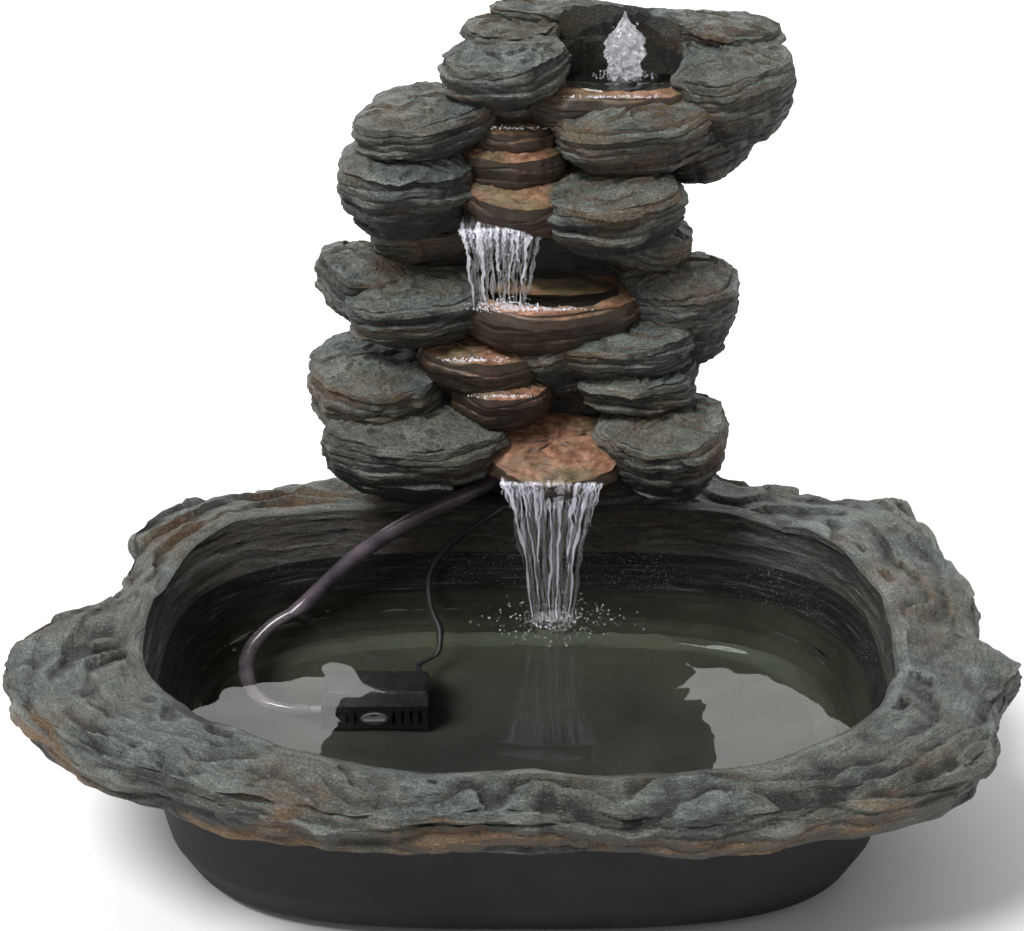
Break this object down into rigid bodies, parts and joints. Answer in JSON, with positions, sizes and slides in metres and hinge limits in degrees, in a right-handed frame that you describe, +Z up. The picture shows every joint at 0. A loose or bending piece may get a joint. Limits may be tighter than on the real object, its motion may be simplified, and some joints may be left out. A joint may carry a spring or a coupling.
{
  "type": "rock cascade fountain",
  "caption": "Free-standing water fountain: a hollow tower of cast stones on a wide catch basin, with a submersible pump, feed hose and mains lead.",
  "frame": {"origin": "middle of the bowl's flat underside, at the ground", "axes": "+X to the right seen from the front, +Y to the back where the tower stands, +Z up"},
  "size_m": [0.9211, 0.7373, 0.6847],
  "materials": {
    "slate_casting": "matte",
    "bowl_casting": "matte",
    "black_moulding": "satin",
    "grey_moulding": "satin",
    "rubber": "matte",
    "clear_hose": "gloss",
    "lead_jacket": "satin",
    "stainless_steel": "satin",
    "shaft_ceramic": "satin",
    "magnet_shell": "satin",
    "pin_brass": "satin",
    "pool_water": "polished"
  },
  "bodies": {
    "fountain": {"basin_bowl": "bowl_casting", "basin_rim": "slate_casting", "tower_shell": "slate_casting", "tower_back_cover": "bowl_casting", "cord_grommet": "rubber", "bubbler_nozzle": "black_moulding", "nozzle_nut": "black_moulding", "pump_housing": "black_moulding", "housing_o_ring": "rubber", "volute_cover": "grey_moulding", "shaft_bush_rear": "rubber", "shaft_bush_front": "rubber", "cord_gland": "rubber", "feed_hose": "clear_hose", "power_cord": "lead_jacket", "cord_coil": "lead_jacket", "coil_tie": "grey_moulding", "power_cord_tail": "lead_jacket", "plug_strain_relief": "lead_jacket", "plug_body": "lead_jacket", "plug_pin_1": "pin_brass", "plug_pin_2": "pin_brass", "cover_screw_1": "stainless_steel", "suction_cup_1": "rubber", "cover_screw_2": "stainless_steel", "suction_cup_2": "rubber", "cover_screw_3": "stainless_steel", "suction_cup_3": "rubber", "cover_screw_4": "stainless_steel", "suction_cup_4": "rubber"},
    "rotor": {"impeller": "grey_moulding", "rotor_magnet": "magnet_shell", "rotor_shaft": "shaft_ceramic"},
    "strainer": {"strainer_cover": "black_moulding"},
    "regulator": {"flow_regulator": "grey_moulding"}
  },
  "joints": [
    {"name": "impeller_spin", "type": "hinge", "parent": "fountain", "child": "rotor", "pos_m": [-0.138, 0.048, 0.0516], "axis": [0, 1, 0], "continuous": true},
    {"name": "strainer_pull", "type": "slide", "parent": "fountain", "child": "strainer", "axis": [0, -1, 0], "range_m": [0, 0.04]},
    {"name": "regulator_turn", "type": "hinge", "parent": "strainer", "child": "regulator", "pos_m": [-0.138, 0.024, 0.0516], "axis": [0, 1, 0], "range_deg": [0, 90]}
  ]
}
